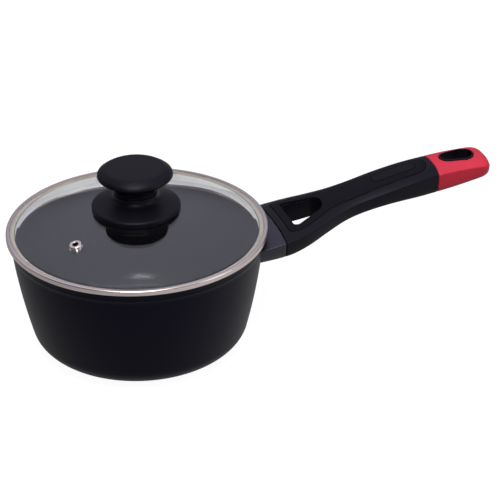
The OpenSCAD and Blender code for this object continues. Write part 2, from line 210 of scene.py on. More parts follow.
def twin(piece, name, move=(0, 0, 0)):
    """A copy with its own mesh, moved by so many millimetres."""
    only(piece)
    bpy.ops.object.duplicate(linked=False)
    copy = bpy.context.object
    copy.name = name
    bpy.ops.transform.translate(value=Vector(move) * MM)
    bpy.ops.object.transform_apply(location=True, rotation=True, scale=True)
    return copy


def soften(piece, voxel, rounds=4, factor=0.5):
    """Turns a carved shape into a moulded one: an even skin whose edges are slightly rounded."""
    modify(piece, "REMESH", mode="VOXEL", voxel_size=voxel * MM, use_smooth_shade=True)
    modify(piece, "SMOOTH", factor=factor, iterations=rounds)
    return piece


def path_of(name, points, close=False):
    """Starts a piece as one corner of a small plane, extruded along points [x, y, z] in millimetres."""
    bpy.ops.object.select_all(action="DESELECT")
    bpy.ops.mesh.primitive_plane_add(size=MM, location=(0, 0, 0))
    piece = bpy.context.object
    piece.name = name
    bpy.ops.object.mode_set(mode="EDIT")
    sheet = bmesh.from_edit_mesh(piece.data)
    first = min(sheet.verts, key=lambda corner: corner.co.x + corner.co.y)
    for corner in sheet.verts:
        corner.select = corner is not first
    start = first.co.copy()
    bmesh.update_edit_mesh(piece.data)
    bpy.ops.mesh.delete(type="VERT")
    bpy.ops.mesh.select_all(action="SELECT")
    bpy.ops.transform.translate(value=Vector(points[0]) * MM - start)
    for here, there in zip(points, points[1:]):
        step = (Vector(there) - Vector(here)) * MM
        bpy.ops.mesh.extrude_vertices_move(TRANSFORM_OT_translate={"value": step})
    bpy.ops.mesh.select_all(action="SELECT")
    if close:
        bpy.ops.mesh.edge_face_add()
    return piece


def turned(name, outline, steps=None, closed=False):
    """A piece turned on a lathe: half outline [radius, height] in mm, spun round the upright axis."""
    points = [(r, 0, z) for r, z in outline]
    if closed:
        points.append(points[0])
    piece = path_of(name, points)
    steps = steps or bpy.context.scene.saucepan_sizes.steps
    bpy.ops.mesh.spin(steps=steps, angle=TURN, center=(0, 0, 0), axis=(0, 0, 1))
    tidy_mesh()
    return piece


def tidy_mesh():
    """Merges doubled corners and points all faces outwards, then leaves edit mode."""
    bpy.ops.mesh.select_all(action="SELECT")
    bpy.ops.mesh.remove_doubles(threshold=0.002 * MM)
    bpy.ops.mesh.dissolve_degenerate(threshold=0.001 * MM)
    bpy.ops.mesh.select_all(action="SELECT")
    bpy.ops.mesh.normals_make_consistent(inside=False)
    bpy.ops.object.mode_set(mode="OBJECT")


def prism(name, outline, bottom=BELOW, top=ABOVE):
    """An outline [x, y] seen from above, extruded from one height to another."""
    piece = path_of(name, [(x, y, bottom) for x, y in outline], close=True)
    bpy.ops.mesh.extrude_region_move(TRANSFORM_OT_translate={"value": (0, 0, (top - bottom) * MM)})
    tidy_mesh()
    return piece


def arc(cx, cy, radius, start, end, parts=8):
    """Points of an arc, with its angles in degrees."""
    angles = [math.radians(start + (end - start) * i / parts) for i in range(parts + 1)]
    return [(cx + radius * math.cos(a), cy + radius * math.sin(a)) for a in angles]


def along(path, x):
    """Value at x of a smooth curve through the points [x, value] of a path."""
    i = max(k for k in range(len(path) - 1) if k == 0 or path[k][0] <= x)

    def slope(k):
        a, b = max(k - 1, 0), min(k + 1, len(path) - 1)
        return (path[b][1] - path[a][1]) / (path[b][0] - path[a][0])

    span = path[i + 1][0] - path[i][0]
    t = (x - path[i][0]) / span
    rise = 3 * t * t - 2 * t ** 3
    bend = slope(i) * (t - 2 * t * t + t ** 3) + slope(i + 1) * (t ** 3 - t * t)
    return path[i][1] * (1 - rise) + path[i + 1][1] * rise + span * bend


def finished(piece, name, body, slot, nodes=(), angle=35):
    """Names, smooths, paints and seats a finished piece; nodes are the frame nodes that it stands for."""
    only(piece)
    piece.name = name
    piece.data.name = name
    bpy.ops.object.shade_smooth_by_angle(angle=math.radians(angle))
    piece.data.materials.clear()
    piece.data.materials.append(finish(slot))
    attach(piece, body)
    if nodes:
        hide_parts(*nodes)
    return piece


# ---- node helpers ----
def add(tree, kind, values=None, **settings):
    """A shader node with its settings and unlinked input values."""
    item = tree.nodes.new("ShaderNode" + kind)
    for key, value in settings.items():
        setattr(item, key, value)
    for key, value in (values or {}).items():
        item.inputs[key].default_value = value
    return item


def maths(tree, operation, values=None):
    """A maths node."""
    return add(tree, "Math", values, operation=operation)


def remap(tree, start=0, end=1, first=0, last=1, **settings):
    """A node that maps the range from start to end onto the range from first to last."""
    return add(tree, "MapRange",
               {"From Min": start, "From Max": end, "To Min": first, "To Max": last}, **settings)


def join(tree, *pairs):
    """Links outputs to inputs, given as (node, output, node, input)."""
    for a, out, b, into in pairs:
        tree.links.new(a.outputs[out], b.inputs[into])


def shader_group(name, inputs, outputs):
    """Wraps a function that wires a group, so that the group is made once, with named float sockets."""
    def wrap(wire):
        def get():
            if name not in bpy.data.node_groups:
                tree = bpy.data.node_groups.new(name, "ShaderNodeTree")
                plug = tree.interface.new_socket
                for label, default in inputs.items():
                    socket = plug(name=label, in_out="INPUT", socket_type="NodeSocketFloat")
                    socket.default_value = default
                for label in outputs:
                    plug(name=label, in_out="OUTPUT", socket_type="NodeSocketFloat")
                wire(tree, tree.nodes.new("NodeGroupInput"), tree.nodes.new("NodeGroupOutput"))
            return bpy.data.node_groups[name]
        return get
    return wrap


def from_axis(tree):
    """The place on the piece, its three parts and its distance from the upright axis."""
    place = add(tree, "TexCoord")
    split = add(tree, "SeparateXYZ")
    flat = add(tree, "CombineXYZ")
    size = add(tree, "VectorMath", operation="LENGTH")
    join(tree, (place, "Object", split, 0), (split, 0, flat, 0), (split, 1, flat, 1), (flat, 0, size, 0))
    return place, split, size


@shader_group("Surface Grain", {"Grain Scale": 2200, "Mottle Scale": 45, "Mottle": 0.08}, ("Height", "Tone"))
def grain_group(tree, into, out):
    """Fine moulded or sprayed texture, with a slow change of tone over the piece."""
    place = add(tree, "TexCoord")
    fine = add(tree, "TexNoise", {"Detail": 3, "Roughness": 0.6})
    slow = add(tree, "TexNoise", {"Detail": 4, "Roughness": 0.55})
    less = maths(tree, "SUBTRACT", {0: 1})
    more = maths(tree, "ADD", {0: 1})
    spread = remap(tree, 0.3, 0.7)
    join(tree, (place, "Object", fine, "Vector"), (place, "Object", slow, "Vector"),
         (into, "Grain Scale", fine, "Scale"), (into, "Mottle Scale", slow, "Scale"),
         (into, "Mottle", less, 1), (into, "Mottle", more, 1), (slow, "Fac", spread, "Value"),
         (less, 0, spread, "To Min"), (more, 0, spread, "To Max"),
         (fine, "Fac", out, "Height"), (spread, "Result", out, "Tone"))


@shader_group("Lathe Lines", {"Line Scale": 3500, "Wander": 12}, ("Height", "Tone"))
def lathe_group(tree, into, out):
    """Fine lines that a lathe or a polishing wheel leaves round the upright axis."""
    place, split, size = from_axis(tree)
    pair = add(tree, "CombineXYZ")
    line = add(tree, "TexNoise", {"Detail": 2, "Roughness": 0.7})
    slow = add(tree, "TexNoise", {"Detail": 2})
    tone = remap(tree, 0.3, 0.7, 0.93, 1.05)
    join(tree, (size, "Value", pair, 0), (split, 2, pair, 2), (pair, 0, line, "Vector"),
         (into, "Line Scale", line, "Scale"), (place, "Object", slow, "Vector"),
         (into, "Wander", slow, "Scale"),
         (line, "Fac", out, "Height"), (slow, "Fac", tone, "Value"), (tone, "Result", out, "Tone"))


@shader_group("Round Streaks", {"Count": 500, "Slant": 0, "Sharpness": 0.3}, ("Mask",))
def streak_group(tree, into, out):
    """Marks at equal angles round the upright axis; the slant leans them as they go outwards."""
    place, split, size = from_axis(tree)
    angle = maths(tree, "ARCTAN2")
    times = maths(tree, "MULTIPLY")
    lean = maths(tree, "MULTIPLY_ADD")
    wave = maths(tree, "SINE")
    edge = remap(tree, interpolation_type="SMOOTHSTEP")
    neg = maths(tree, "MULTIPLY", {1: -1})
    join(tree, (split, 1, angle, 0), (split, 0, angle, 1), (angle, 0, times, 0), (into, "Count", times, 1),
         (size, "Value", lean, 0), (into, "Slant", lean, 1), (times, 0, lean, 2), (lean, 0, wave, 0),
         (into, "Sharpness", neg, 0), (neg, 0, edge, "From Min"), (into, "Sharpness", edge, "From Max"),
         (wave, 0, edge, "Value"), (edge, "Result", out, "Mask"))


@shader_group("Edge Sheen and Wear", {"Reach": 0.06, "Patch Scale": 160}, ("Edge",))
def wear_group(tree, into, out):
    """Mask of outward edges, in patches, that are painted lighter: partly light rubbing, partly a painted
    highlight along the edges.
    """
    place, shape = add(tree, "TexCoord"), add(tree, "NewGeometry")
    top = maths(tree, "ADD", {0: 0.5})
    edge = remap(tree, 0.505, interpolation_type="SMOOTHSTEP")
    patch = add(tree, "TexNoise", {"Detail": 4, "Roughness": 0.65})
    some = remap(tree, 0.4, 0.65)
    both = maths(tree, "MULTIPLY")
    join(tree, (into, "Reach", top, 1), (shape, "Pointiness", edge, "Value"), (top, 0, edge, "From Max"),
         (place, "Object", patch, "Vector"), (into, "Patch Scale", patch, "Scale"),
         (patch, "Fac", some, "Value"), (edge, "Result", both, 0), (some, "Result", both, 1),
         (both, 0, out, "Edge"))


def use(tree, group, **values):
    """Places a shader group in a material with its own values; underscores stand for spaces."""
    item = add(tree, "Group", node_tree=group)
    for key, value in values.items():
        item.inputs[key.replace("_", " ")].default_value = value
    return item


def blank(name, base, rough, metal=0.0, **plain):
    """A new material, its tree and its shader; plain values stay on the shader's own sockets."""
    material = bpy.data.materials.new(name)
    material.use_nodes = True
    tree = material.node_tree
    shader = tree.nodes["Principled BSDF"]
    shader.inputs["Base Color"].default_value = (*base, 1)
    shader.inputs["Roughness"].default_value = rough
    shader.inputs["Metallic"].default_value = metal
    for key, value in plain.items():
        shader.inputs[key.replace("_", " ")].default_value = value
    return material, tree, shader


def toned(tree, shader, base, source):
    """Multiplies the base colour by a slowly changing tone."""
    mix = add(tree, "VectorMath", {0: tuple(base)}, operation="SCALE")
    join(tree, (source, "Tone", mix, "Scale"), (mix, 0, shader, "Base Color"))
    return mix


def bumped(tree, shader, source, output="Height", depth=0.02, strength=0.4):
    """Feeds a height into the shader's normal; depth in millimetres."""
    bump = add(tree, "Bump", {"Strength": strength, "Distance": depth * MM})
    join(tree, (source, output, bump, "Height"), (bump, "Normal", shader, "Normal"))


def ranged(tree, shader, source, lowest, highest):
    """Lets the roughness follow the height of a texture, from the lowest to the highest."""
    scale = remap(tree, 0, 1, lowest, highest)
    join(tree, (source, "Height", scale, "Value"), (scale, "Result", shader, "Roughness"))


# ---- finishes ----
COOL, PLUM = (0.86, 0.84, 1, 1), (0.74, 0.69, 1, 1)  # tints of the reflections on black and on the pan


def plastic(name, base, rough, grain, specular, sheen_and_wear_share=0.35, rub=0.004):
    """Moulded plastic with a fine grain, a slow change of tone and outward edges painted lighter, partly as
    rubbing and partly as a painted highlight.
    """
    material, tree, shader = blank(name, base, rough, Specular_IOR_Level=specular, Specular_Tint=COOL)
    skin = use(tree, grain_group(), Grain_Scale=grain, Mottle_Scale=60, Mottle=0.1)
    edge_sheen_and_wear = use(tree, wear_group())
    mix = toned(tree, shader, base, skin)
    # Painted highlight and wear: outward edges are mixed towards a lighter colour.
    sheen_and_wear_colour = [min(1, c * 1.5 + rub) for c in base]
    lighter = add(tree, "Mix", {"B": (*sheen_and_wear_colour, 1)}, data_type="RGBA")
    amount = maths(tree, "MULTIPLY", {1: sheen_and_wear_share})
    join(tree, (edge_sheen_and_wear, "Edge", amount, 0), (amount, 0, lighter, "Factor"), (mix, 0, lighter, "A"),
         (lighter, "Result", shader, "Base Color"))
    ranged(tree, shader, skin, rough - 0.06, rough + 0.08)
    bumped(tree, shader, skin, depth=0.05, strength=0.35)
    return material


def pan_coating(colours):
    """Satin plum-black sprayed coating."""
    material, tree, shader = blank("pan_coating", colours.coating, 0.4, Specular_IOR_Level=0.13,
                                   Specular_Tint=PLUM)
    skin = use(tree, grain_group(), Grain_Scale=1500, Mottle_Scale=25, Mottle=0.06)
    toned(tree, shader, colours.coating, skin)
    ranged(tree, shader, skin, 0.33, 0.45)
    bumped(tree, shader, skin, depth=0.03, strength=0.25)
    return material


def nonstick(colours):
    """Dark grey non-stick lining with a faint sprayed speckle."""
    material, tree, shader = blank("nonstick", colours.lining, 0.2, Specular_IOR_Level=0.3)
    skin = use(tree, grain_group(), Grain_Scale=1800, Mottle_Scale=300, Mottle=0.06)
    toned(tree, shader, colours.lining, skin)
    ranged(tree, shader, skin, 0.205, 0.215)
    bumped(tree, shader, skin, depth=0.002, strength=0.05)
    return material


def steel(name, base, rough, line_scale, spread=0.08):
    """Brushed or turned metal."""
    material, tree, shader = blank(name, base, rough, 1.0)
    lines = use(tree, lathe_group(), Line_Scale=line_scale)
    toned(tree, shader, base, lines)
    ranged(tree, shader, lines, rough - spread, rough + spread)
    bumped(tree, shader, lines, depth=0.01, strength=0.35)
    return material


def rim_steel(colours):
    """Polished band with a weld seam across its front; the skirt is satin, and shade is painted into the
    vent's bore by darkening the colour round it.
    """
    material = steel("rim_steel", colours.steel, 0.24, 3000, 0.06)
    tree = material.node_tree
    shader = tree.nodes["Principled BSDF"]
    bump = shader.inputs["Normal"].links[0].from_node
    lines = shader.inputs["Roughness"].links[0].from_node
    place = add(tree, "TexCoord")
    seam_angle, bore_shade_reach = math.radians(100), 2.3
    turn = add(tree, "Mapping", {"Rotation": (0, 0, seam_angle)})
    split = add(tree, "SeparateXYZ")
    aside = maths(tree, "ABSOLUTE")
    seam = remap(tree, 0.05 * MM, 0.5 * MM, 1, 0)
    front = maths(tree, "GREATER_THAN", {1: 0})
    both = maths(tree, "MULTIPLY")
    weld = add(tree, "Bump", {"Strength": 0.7, "Distance": 0.1 * MM})
    join(tree, (place, "Object", turn, "Vector"), (turn, 0, split, 0), (split, 1, aside, 0),
         (aside, 0, seam, "Value"), (split, 0, front, 0), (seam, "Result", both, 0), (front, 0, both, 1),
         (both, 0, weld, "Height"), (bump, "Normal", weld, "Normal"), (weld, "Normal", shader, "Normal"))
    s = sizes()
    foot = (s.band_z - s.band_h) * MM
    skirt = remap(tree, foot - 0.1 * MM, foot - 0.5 * MM)
    hem = remap(tree, (s.skirt_z + 1.9) * MM, (s.skirt_z + 2.3) * MM)
    inside = maths(tree, "MULTIPLY")
    satin = maths(tree, "MULTIPLY", {1: 0.35})
    wider = maths(tree, "ADD")
    metal = remap(tree, 0, 1, 1, 0.3)
    # Painted shade: within 2.3 mm of a point just under the vent's middle the base colour is darkened to 4%,
    # so that the bore looks dark.
    inlet = (VENT - Vector((0, 0, 0.3))) * MM
    near = add(tree, "VectorMath", {1: inlet}, operation="DISTANCE")
    shade = remap(tree, bore_shade_reach * MM, (bore_shade_reach + 0.2) * MM, 0.04)
    tone = shader.inputs["Base Color"].links[0].from_node
    bore_shaded_colour = add(tree, "VectorMath", operation="SCALE")
    cooler = add(tree, "Mix", {"B": (0.83, 0.82, 0.83, 1)}, data_type="RGBA")
    join(tree, (place, "Object", near, 0), (near, "Value", shade, "Value"), (tone, 0, bore_shaded_colour, 0),
         (shade, "Result", bore_shaded_colour, "Scale"), (bore_shaded_colour, 0, cooler, "A"), (inside, 0, cooler, "Factor"),
         (cooler, "Result", shader, "Base Color"))
    join(tree, (split, 2, skirt, "Value"), (split, 2, hem, "Value"), (skirt, "Result", inside, 0),
         (hem, "Result", inside, 1), (inside, 0, satin, 0), (satin, 0, wider, 0),
         (lines, "Result", wider, 1), (wider, 0, shader, "Roughness"), (inside, 0, metal, "Value"),
         (metal, "Result", shader, "Metallic"))
    return material


def seal(colours):
    """Brown sealant under the glass edge, with the crimp's slanted teeth showing through it."""
    material, tree, shader = blank("seal", colours.seal, 0.5, Specular_IOR_Level=0.5)
    teeth = use(tree, streak_group(), Count=400, Slant=1400, Sharpness=0.3)
    skin = use(tree, grain_group(), Grain_Scale=900, Mottle_Scale=18, Mottle=0.35)
    mix = toned(tree, shader, colours.seal, skin)
    light = add(tree, "Mix", {"B": (0.5, 0.45, 0.38, 1)}, data_type="RGBA")
    join(tree, (teeth, "Mask", light, "Factor"), (mix, 0, light, "A"),
         (light, "Result", shader, "Base Color"))
    ranged(tree, shader, skin, 0.4, 0.6)
    bumped(tree, shader, teeth, "Mask", depth=0.2, strength=0.6)
    return material


def glass(colours):
    """Clear tempered glass with the faintest waviness."""
    material, tree, shader = blank("glass", colours.glass, 0.0, IOR=1.5, Transmission_Weight=1.0)
    skin = use(tree, grain_group(), Grain_Scale=14, Mottle_Scale=30, Mottle=0.05)
    ranged(tree, shader, skin, 0.0, 0.02)
    bumped(tree, shader, skin, depth=0.04, strength=0.15)
    seen = add(tree, "LightPath")
    solid = maths(tree, "SUBTRACT", {0: 1})
    join(tree, (seen, "Is Shadow Ray", solid, 1), (solid, 0, shader, "Alpha"))
    return material


MOULDED = {  # colour, roughness, grain, specular level, then how strongly and how much lighter edges are painted (rubbing and painted highlight), where they stand out
    # The guard's edges are painted much lighter: mostly a painted highlight along its near top edge.
    "guard_coating": ("guard", 0.28, 1500, 0.6, 0.9, 0.06),
    "phenolic": ("plastic", 0.4, 2200, 0.16),
    "soft_panel": ("inlay", 0.5, 1700, 0.1),
    "badge": ("inlay", 0.46, 2600, 0.12),
    "red_soft": ("red", 0.48, 2000, 0.45, 0.15),
    "silicone": ("rubber", 0.55, 2400, 0.4),
}
METALS = {  # colour, roughness, scale of the lines, spread of the roughness
    "raw_steel": ("raw_steel", 0.34, 2600, 0.1),
    "zinc_steel": ("raw_steel", 0.4, 1800, 0.06),
    "brass": ("brass", 0.3, 2400),
}
OTHERS = {maker.__name__: maker for maker in (pan_coating, nonstick, glass, rim_steel, seal)}
MADE = {}


def finish(slot):
    """The material of a slot, made the first time that it is asked for."""
    colours = bpy.context.scene.saucepan_finish
    if slot not in MADE:
        if slot in OTHERS:
            MADE[slot] = OTHERS[slot](colours)
        else:
            maker, table = (plastic, MOULDED) if slot in MOULDED else (steel, METALS)
            tint, *values = table[slot]
            MADE[slot] = maker(slot, getattr(colours, tint), *values)
    return MADE[slot]


def repaint(node):
    """Gives a frame node that stays in view the finish of its material slot."""
    slots = {part["node"]: part["material_slot"] for part in frame["record"]["subparts"]}
    piece = frame["nodes"][node]
    piece.data.materials.clear()
    piece.data.materials.append(finish(slots[node]))


# ---- shapes of the pan and lid ----
def millimetres(group):
    """The sizes as plain millimetres."""
    names = [key for key in group.bl_rna.properties.keys() if key not in ("rna_type", "name")]
    return type("Millimetres", (), {key: getattr(group, key) / MM for key in names if key != "steps"})


def sizes():
    """The sizes that the user set, in millimetres."""
    return millimetres(bpy.context.scene.saucepan_sizes)


def wall_r(s, z):
    """Outer radius of the pan's wall at a height: steeper at the heel, straighter at the rim."""
    t = (z - s.heel_z) / (s.rim_z - s.heel_z)
    return s.heel_r + (s.bead_r - s.bead_out - s.heel_r) * (1.48 * t - 0.48 * t * t)


def wall_heights(s, parts=24):
    """Heights at which the wall's outline has a point, from the heel to the bead."""
    top = s.rim_z - s.bead_fall
    return [s.heel_z + (top - s.heel_z) * i / parts for i in range(parts + 1)]


def heel_curve(s, parts=16):
    """The base curve, a quarter of an ellipse cut short where it meets the wall's slope."""
    cut = math.radians(14)
    up = s.heel_z / (1 - math.sin(cut))
    out = (s.heel_r - s.base_r) / math.cos(cut)
    turns = [-math.pi / 2 + (math.pi / 2 - cut) * i / parts for i in range(parts)]
    return [(s.base_r + out * math.cos(a), up * (1 + math.sin(a))) for a in turns]


def inner_wall(s, depth, rise=0):
    """The inside outline at a depth in from the outer wall, down from the bead to the floor's middle."""
    corner, flare = 13, 0.6
    x = wall_r(s, s.heel_z) - depth + flare
    return ([(wall_r(s, z) - depth, z) for z in reversed(wall_heights(s)[1:])]
            + arc(x - corner, s.floor + rise + corner, corner, 0, -90, 12) + [(0, s.floor + rise)])


GLASS_SEAT, GLASS_EDGE, DOME_R = 0.6, 2.2, 80  # its edge: depth below the band's top, thickness, radius


def dome_height(s, r):
    """Height of the dome's outer face at a radius."""
    rise = s.dome_z - (s.band_z - GLASS_SEAT)
    sphere = (DOME_R * DOME_R + rise * rise) / (2 * rise)
    return s.dome_z - sphere + math.sqrt(sphere * sphere - r * r)


# ---- the handle's form ----
HALF_WIDTH = [(70, 29), (96, 28.7), (110, 26.4), (124, 22.2), (138, 17.9), (150, 16.4), (172, 16.6),
              (190, 16), (206, 15), (250, 15)]
CREASE = [(70, 62.2), (96, 65.8), (120, 70.7), (145, 77), (170, 82.3), (195, 86.4), (220, 88.4), (250, 88)]
UNDERSIDE = [(70, 51.4), (96, 52.9), (110, 56.2), (125, 61.5), (145, 67.3), (170, 71.5), (200, 73.1),
             (222, 75.7), (250, 81)]
INLAY_HALF = [(98, 21.5), (106, 20.6), (114, 18.4), (124, 14.4), (133, 11.6), (146, 11), (165, 10.3),
              (192, 9.6)]
TOP_PARTS = (1, 0.97, 0.92, 0.86, 0.77, 0.66, 0.52, 0.35, 0.18)
UNDER_PARTS = ((0.985, 0.2), (0.97, 0.4), (0.95, 0.58), (0.93, 0.72), (0.9, 0.84), (0.85, 0.92),
               (0.78, 0.98), (0.7, 1), (0.35, 1))
TIP_LENGTH, TIP_SHARE = 9, 0.55


def handle_size(s, x):
    """Half width, heights of crease and underside, and crown of the handle at x from the pan's axis."""
    u = max(0, (x - s.tip_x + TIP_LENGTH) / TIP_LENGTH)
    narrow = max(0, 1 - u ** 2.6) ** 0.5
    thin = 0.45 + 0.55 * max(0, 1 - u ** 3) ** 0.5
    crease, under = along(CREASE, x), along(UNDERSIDE, x)
    middle = (crease + under) / 2
    return (along(HALF_WIDTH, x) * (TIP_SHARE + (1 - TIP_SHARE) * narrow), middle + (crease - middle) * thin,
            middle + (under - middle) * thin, s.crown * thin)


def handle_form(s):
    """The whole handle as one block: a section extruded along it and resized at each stop."""
    start, stride = 72, 4
    stops = list(range(start, int(s.tip_x - TIP_LENGTH) - 1, stride))
    stops += [s.tip_x - TIP_LENGTH * (1 - math.sin(math.radians(i * 10))) for i in range(10)]
    x = stops[0]
    wide, crease, under, crown = handle_size(s, x)
    top = list(TOP_PARTS) + [0] + [-t for t in reversed(TOP_PARTS)]
    below = [(-a, b) for a, b in UNDER_PARTS] + [(0, 1)] + list(reversed(UNDER_PARTS))
    section = [(x, wide * t, crease + crown * (1 - abs(t) ** 3)) for t in top]
    section += [(x, wide * a, crease + (under - crease) * b) for a, b in below]
    piece = path_of("handle_form", section, close=True)
    tiny = 0.002
    for there in stops[1:]:
        new = handle_size(s, there)
        bpy.ops.mesh.extrude_region_move(
            TRANSFORM_OT_translate={"value": Vector((there - x, 0, new[1] - crease)) * MM})
        bpy.ops.transform.resize(value=(1, new[0] / wide, 1), center_override=(0, 0, 0))
        x = there
        old_depth, old_crown = crease - under, crown
        wide, crease, under, crown = new
        level = (0, 0, crease * MM)
        pick(piece, lambda co: abs(co.x - x) < tiny and co.z < crease - tiny)
        bpy.ops.transform.resize(value=(1, 1, (crease - under) / old_depth), center_override=level)
        if abs(crown - old_crown) > tiny:
            pick(piece, lambda co: abs(co.x - x) < tiny and co.z > crease + tiny)
            bpy.ops.transform.resize(value=(1, 1, crown / old_crown), center_override=level)
        pick(piece, lambda co: abs(co.x - x) < tiny)
    tidy_mesh()
    return piece


def window_outline(grow=0):
    """Flat towards the pan, round towards the grip."""
    corner_x, corner_y, corner, nose = 106, 12.6, 3 + grow, 116.6
    return (arc(corner_x, corner_y, corner, 180, 75, 6) + arc(nose, 0, 11 + grow, 55, -55, 18)
            + arc(corner_x, -corner_y, corner, 285, 180, 6))


def inlay_outline(grow=0):
    """Wide round the window, narrow along the grip, with a round end."""
    end = 201.8
    radius = 9.6
    side = [(x, along(INLAY_HALF, x) + grow) for x in range(106, int(end - radius), 4)]
    return (arc(102.2, 16.8, 4 + grow, 180, 100, 6) + side + arc(end - radius, 0, radius + grow, 90, -90, 18)
            + [(x, -y) for x, y in reversed(side)] + arc(102.2, -16.8, 4 + grow, 260, 180, 6))


def badge_outline(grow=0):
    """A long oval."""
    x0, x1, half = 163.5, 194.5, 4.2
    return arc(x0 + half, 0, half + grow, 90, 270, 14) + arc(x1 - half, 0, half + grow, -90, 90, 14)


def slot_outline(grow=0):
    """Narrow towards the pan, wide towards the tip."""
    x0, r0, x1, r1 = 218.7, 5, 229, 6.7
    touch = 90 + math.degrees(math.asin((r1 - r0) / (x1 - x0)))
    return arc(x0, 0, r0 + grow, touch, 360 - touch, 12) + arc(x1, 0, r1 + grow, -touch, touch, 16)


def block(name, x0, x1, half=45):
    """A plain cutter as wide as the handle needs."""
    return prism(name, [(x0, -half), (x1, -half), (x1, half), (x0, half)])


# ---- operators ----
class SAUCEPAN_OT_pan(bpy.types.Operator):
    """Turn the pan's shell and its lining"""

    bl_idname = "saucepan.pan"
    bl_label = "Pan and Lining"
    bl_options = {"REGISTER", "UNDO"}

    def execute(self, context):
        s = sizes()
        disc_r, recess = high("induction_disc").y, high("induction_disc").z
        bead_z, lip = s.rim_z - s.bead_fall, 0.9
        inside = wall_r(s, bead_z) - s.wall
        step = (s.base_r - disc_r - 0.4) / 2
        base = [(0, recess), (disc_r + 0.1, recess), (disc_r + 0.1, 0.1), (disc_r + 0.2, 0)]
        ring = [(0.45, 0), (0.55, 0.22), (0.8, 0.22), (0.9, 0)]
        for i in range(2):
            base += [(disc_r + 0.2 + step * (i + share), up) for share, up in ring]
        bead = [(0.1, 0.15), (0.3, 0.45), (0.5, 0.85), (0.6, 1.4), (0.6, 4)]
        outline = (base + heel_curve(s) + [(wall_r(s, z), z) for z in wall_heights(s)]
                   + [(wall_r(s, bead_z) + out, bead_z + up) for out, up in bead]
                   + arc(s.bead_r - lip, s.rim_z - lip, lip, 0, 90, 6)
                   + arc(inside + 0.7, s.rim_z - 0.7, 0.7, 90, 180, 6) + inner_wall(s, s.wall))
        finished(turned("pan_shell", outline), "pan_shell", "pan", "pan_coating", ["pan_body"], 40)
        top = s.rim_z - 1.2
        lining = ([(inside - 0.01, top)] + inner_wall(s, s.wall + 0.01, 0.01)
                  + inner_wall(s, s.wall + s.lining, s.lining)[::-1] + [(inside - s.lining, top - 0.3)])
        finished(turned("lining", lining, closed=True), "lining", "pan", "nonstick", ["nonstick_lining"], 40)
        repaint("induction_disc")
        return {"FINISHED"}


class SAUCEPAN_OT_handle(bpy.types.Operator):
    """Mould the guard, the grip, its inlay and badge, and the coloured end"""

    bl_idname = "saucepan.handle"
    bl_label = "Handle"
    bl_options = {"REGISTER", "UNDO"}

    def execute(self, context):
        s = sizes()
        form = handle_form(s)
        self.guard(s, form)
        self.grip(s, form)
        self.inlay(s, form)
        self.end(s, form)
        bpy.data.objects.remove(form)
        for node in ("handle_stud", "handle_screw", "spring_washer"):
            repaint(node)
        return {"FINISHED"}

    def guard(self, s, form):
        """Sleeve between the pan's wall and the grip."""
        sleeve = twin(form, "sleeve")
        carve(sleeve, block("near", low("flame_guard").x - 2, s.root_x + 0.1), "INTERSECT")
        wall = [(wall_r(s, z) - 0.3, z) for z in wall_heights(s, 12)]
        carve(sleeve, turned("wall_tool", [(0, s.heel_z)] + wall + [(0, s.rim_z - s.bead_fall)], 160))
        finished(soften(sleeve, 0.4, 14), "guard_sleeve", "pan", "guard_coating", ["flame_guard"])

    def grip(self, s, form):
        """Grip with the fork's window, the inlay's pocket and the collar of the hanging slot."""
        grip = twin(form, "grip")
        carve(grip, block("middle", s.root_x + 0.3, s.end_x - 0.2), "INTERSECT")
        carve(grip, prism("window", window_outline()))
        pocket = prism("pocket", inlay_outline(0.3))
        carve(pocket, twin(form, "under_pocket", (0, 0, -1.6)))
        carve(grip, pocket)
        finished(soften(grip, 0.45), "grip", "pan", "phenolic", ["handle_core"])
        collar = twin(form, "collar", (0, 0, 0.45))
        carve(collar, prism("collar_outside", slot_outline(1.2), low("end_cap").z + 5), "INTERSECT")
        carve(collar, prism("collar_inside", slot_outline()))
        finished(soften(collar, 0.22, 3), "slot_collar", "pan", "phenolic")

    def inlay(self, s, form):
        """Soft inlay with its groove, and the blank oval badge."""
        inlay = twin(form, "inlay")
        carve(inlay, prism("inlay_outside", inlay_outline()), "INTERSECT")
        carve(inlay, twin(form, "under_inlay", (0, 0, -1.55)))
        carve(inlay, prism("window", window_outline()))
        floor = twin(form, "groove_floor", (0, 0, -s.groove))
        tools = [prism("oval", badge_outline(0.35))]
        for outer, inner in ((1.5, 2.0), (2.9, 3.2)):
            ring = prism("groove", inlay_outline(-outer))
            tools.append(carve(ring, prism("groove_inside", inlay_outline(-inner))))
        for tool in tools:
            carve(tool, floor, keep=True)
            carve(inlay, tool)
        bpy.data.objects.remove(floor)
        finished(soften(inlay, 0.26, 2), "grip_inlay", "pan", "soft_panel", ["grip_panel"])
        badge = twin(form, "badge", (0, 0, 0.05))
        carve(badge, prism("badge_outside", badge_outline(-0.05)), "INTERSECT")
        carve(badge, twin(form, "under_badge", (0, 0, -0.5)))
        finished(soften(badge, 0.2, 3), "badge_oval", "pan", "badge", ["badge_plate"])

    def end(self, s, form):
        """Coloured end with the hanging slot."""
        end = twin(form, "end")
        carve(end, block("far", s.end_x, s.tip_x + 10), "INTERSECT")
        carve(end, prism("slot", slot_outline(1.3)))
        finished(soften(end, 0.36, 10), "red_end", "pan", "red_soft", ["end_cap"])


